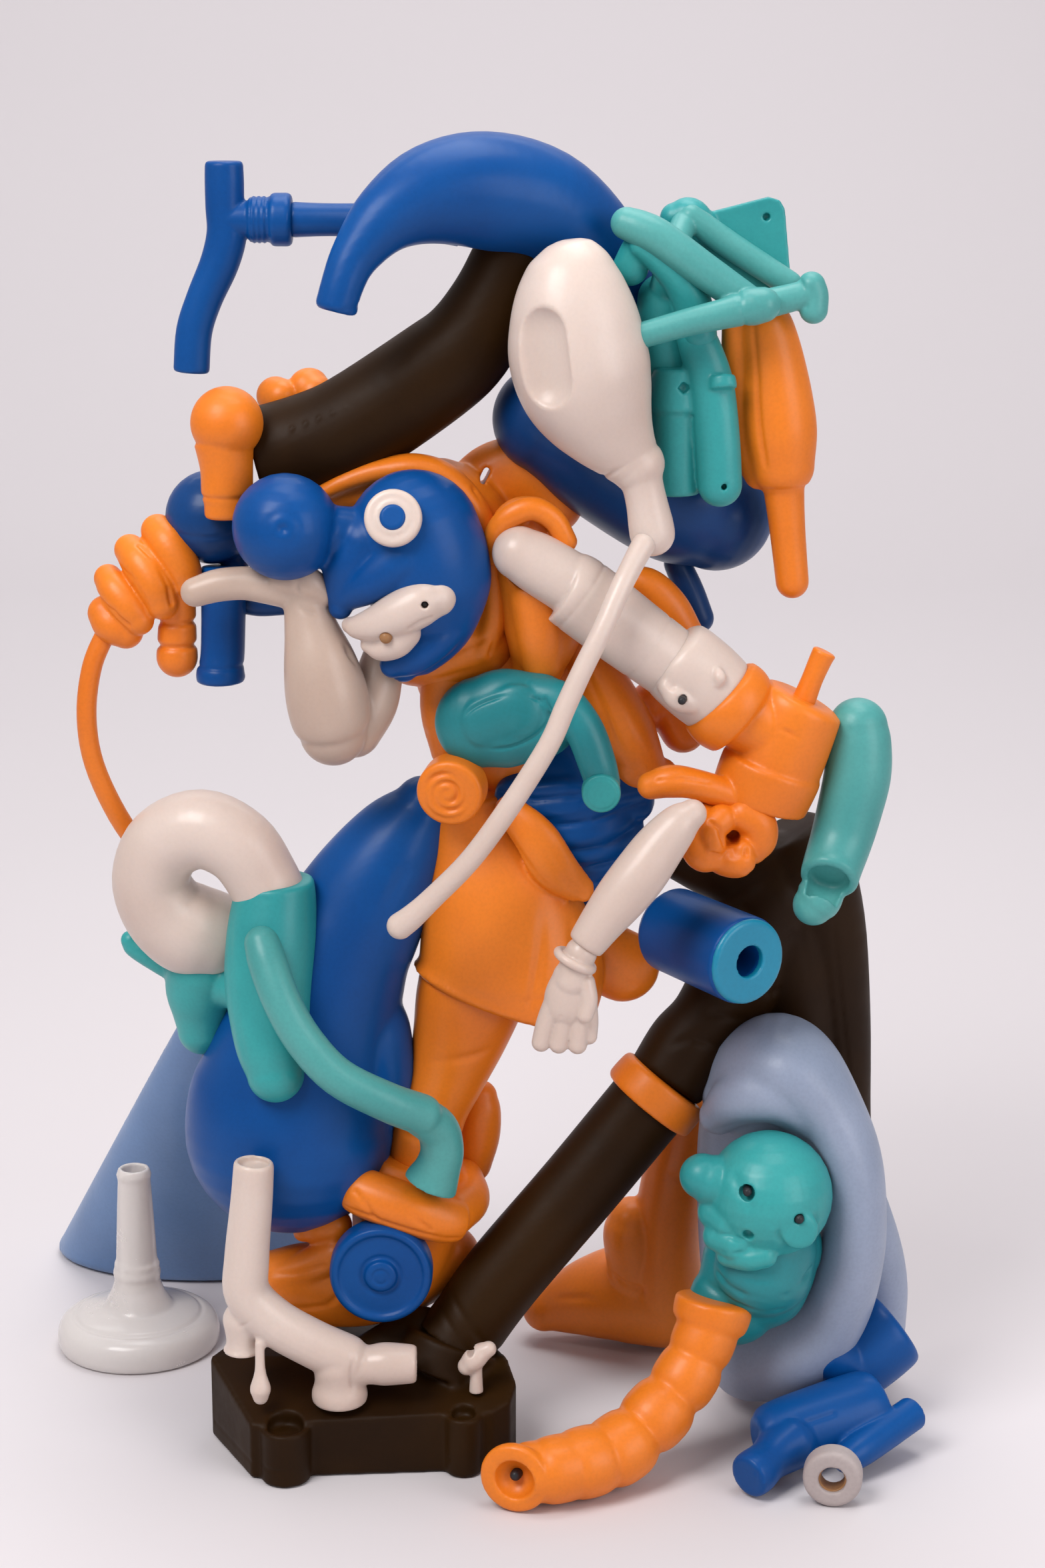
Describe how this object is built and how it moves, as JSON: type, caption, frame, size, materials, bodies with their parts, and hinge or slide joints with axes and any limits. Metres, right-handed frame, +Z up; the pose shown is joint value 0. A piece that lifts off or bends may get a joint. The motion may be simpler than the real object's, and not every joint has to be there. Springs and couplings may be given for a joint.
{
  "type": "toy figure kit",
  "caption": "Table-top kit of moulded plastic tubes, bulbs, hands, hoses and a mask, joined into one figure-like stack on a dark base block.",
  "frame": {"origin": "on the standing surface, under the middle of the kit's bounding box", "axes": "+Z up; -Y is the front, towards the viewer; +X is the viewer's right"},
  "size_m": [0.3127, 0.2544, 0.4228],
  "materials": {
    "blue": "satin moulded vinyl, soft highlights",
    "navy": "satin moulded vinyl",
    "orange": "satin moulded vinyl",
    "teal": "satin moulded vinyl",
    "cream": "satin moulded vinyl, slightly translucent",
    "brown": "satin dark moulded plastic",
    "pale_blue": "smooth satin plastic",
    "grey_blue": "smooth satin plastic",
    "grey": "matt plastic"
  },
  "bodies": {
    "root": {"base_block": "brown", "base_pin": "cream", "elbow_pipe": "cream", "lower_tube": "brown", "tube_ring": "orange", "trousers": "brown", "boot": "orange", "leg": "orange", "skirt": "orange", "balloon_leg": "blue", "ring_hook": "cream", "hook_sleeve": "teal", "drain_pipe": "teal", "support_cone": "pale_blue", "torso": "orange", "waist_sash": "blue", "pouch": "teal", "hood": "orange", "left_ball": "navy", "blue_handle": "blue", "left_fist": "orange", "orange_hose": "orange", "blue_arch": "blue", "crank_shaft": "blue", "upper_tube": "brown", "bulb_fitting": "orange", "lobed_knob": "orange", "horn": "cream", "blue_capsule": "navy", "teal_frame": "teal", "teal_link": "teal", "shoulder_sleeve": "orange", "hood_ring": "grey_blue", "teal_shirt": "teal", "worm_arm": "orange", "back_bottles": "blue", "front_bottles": "blue", "back_leg": "orange"},
    "crank": {"crank_handle": "blue"},
    "head": {"mask_head": "blue", "eye_ring": "cream", "jaw_insert": "cream"},
    "left_arm": {"left_forearm": "cream"},
    "right_arm": {"right_arm": "cream", "arm_cuff": "cream", "canister": "orange", "right_fist": "orange", "teal_hose": "teal"},
    "can_lever": {"canister_lever": "orange"},
    "forearm": {"hanging_forearm": "cream"},
    "hand": {"hanging_hand": "cream"},
    "rod": {"thin_rod": "cream"},
    "dial": {"pouch_dial": "teal"},
    "spiral": {"spiral_knob": "orange"},
    "wheel": {"wheel_disc": "blue"},
    "roller": {"roller": "blue"},
    "small_head": {"teal_head": "teal"},
    "bottle": {"orange_bottle": "orange"},
    "spindle": {"spindle_disc": "cream"},
    "loose_ring": {"grey_ring": "grey"}
  },
  "joints": [
    {"name": "crank_turn", "type": "hinge", "parent": "root", "child": "crank", "pos_m": [-0.0483, -0.0496, 0.396], "axis": [1, 0, 0], "continuous": true},
    {"name": "head_turn", "type": "hinge", "parent": "root", "child": "head", "pos_m": [-0.0103, -0.0666, 0.285], "axis": [0, 0, 1], "range_deg": [0, 10]},
    {"name": "left_arm_swing", "type": "hinge", "parent": "root", "child": "left_arm", "pos_m": [-0.0223, -0.0576, 0.264], "axis": [0, 1, 0], "range_deg": [-6, 0]},
    {"name": "right_arm_lift", "type": "hinge", "parent": "root", "child": "right_arm", "pos_m": [0.0217, -0.0686, 0.295], "axis": [0, 1, 0], "range_deg": [-5, 0]},
    {"name": "can_lever_tilt", "type": "hinge", "parent": "right_arm", "child": "can_lever", "pos_m": [0.1097, -0.0676, 0.25], "axis": [0, 1, 0], "range_deg": [-10, 10]},
    {"name": "forearm_swing", "type": "hinge", "parent": "right_arm", "child": "forearm", "pos_m": [0.0717, -0.0916, 0.218], "axis": [0, 1, 0], "range_deg": [-5, 12]},
    {"name": "hand_twist", "type": "hinge", "parent": "forearm", "child": "hand", "pos_m": [0.0387, -0.0996, 0.176], "axis": [0.5145, 0, 0.8575], "range_deg": [-30, 30]},
    {"name": "rod_swing", "type": "hinge", "parent": "root", "child": "rod", "pos_m": [0.0607, -0.0796, 0.3], "axis": [0, 1, 0], "range_deg": [-6, 6]},
    {"name": "dial_turn", "type": "hinge", "parent": "root", "child": "dial", "pos_m": [0.0462, -0.0756, 0.222], "axis": [0, 1, 0], "continuous": true},
    {"name": "spiral_turn", "type": "hinge", "parent": "root", "child": "spiral", "pos_m": [-0.0003, -0.0676, 0.221], "axis": [0.1952, 0.9759, 0.0976], "continuous": true},
    {"name": "wheel_turn", "type": "hinge", "parent": "root", "child": "wheel", "pos_m": [-0.0243, -0.0706, 0.06], "axis": [0, 1, 0], "continuous": true},
    {"name": "roller_turn", "type": "hinge", "parent": "root", "child": "roller", "pos_m": [0.0822, -0.0686, 0.1695], "axis": [0.5732, -0.8189, -0.0273], "continuous": true},
    {"name": "small_head_turn", "type": "hinge", "parent": "root", "child": "small_head", "pos_m": [0.1017, -0.0786, 0.087], "axis": [0, 0, 1], "range_deg": [-10, 10]},
    {"name": "bottle_swing", "type": "hinge", "parent": "root", "child": "bottle", "pos_m": [0.0987, -0.0516, 0.364], "axis": [0, 1, 0], "range_deg": [-10, 0]},
    {"name": "spindle_turn", "type": "hinge", "parent": "root", "child": "spindle", "pos_m": [-0.1143, 0.0054, 0], "axis": [0, 0, 1], "continuous": true},
    {"name": "ring_turn", "type": "hinge", "parent": "root", "child": "loose_ring", "pos_m": [0.1197, -0.1156, 0.0096], "axis": [0.1483, 0.9889, 0], "continuous": true}
  ]
}
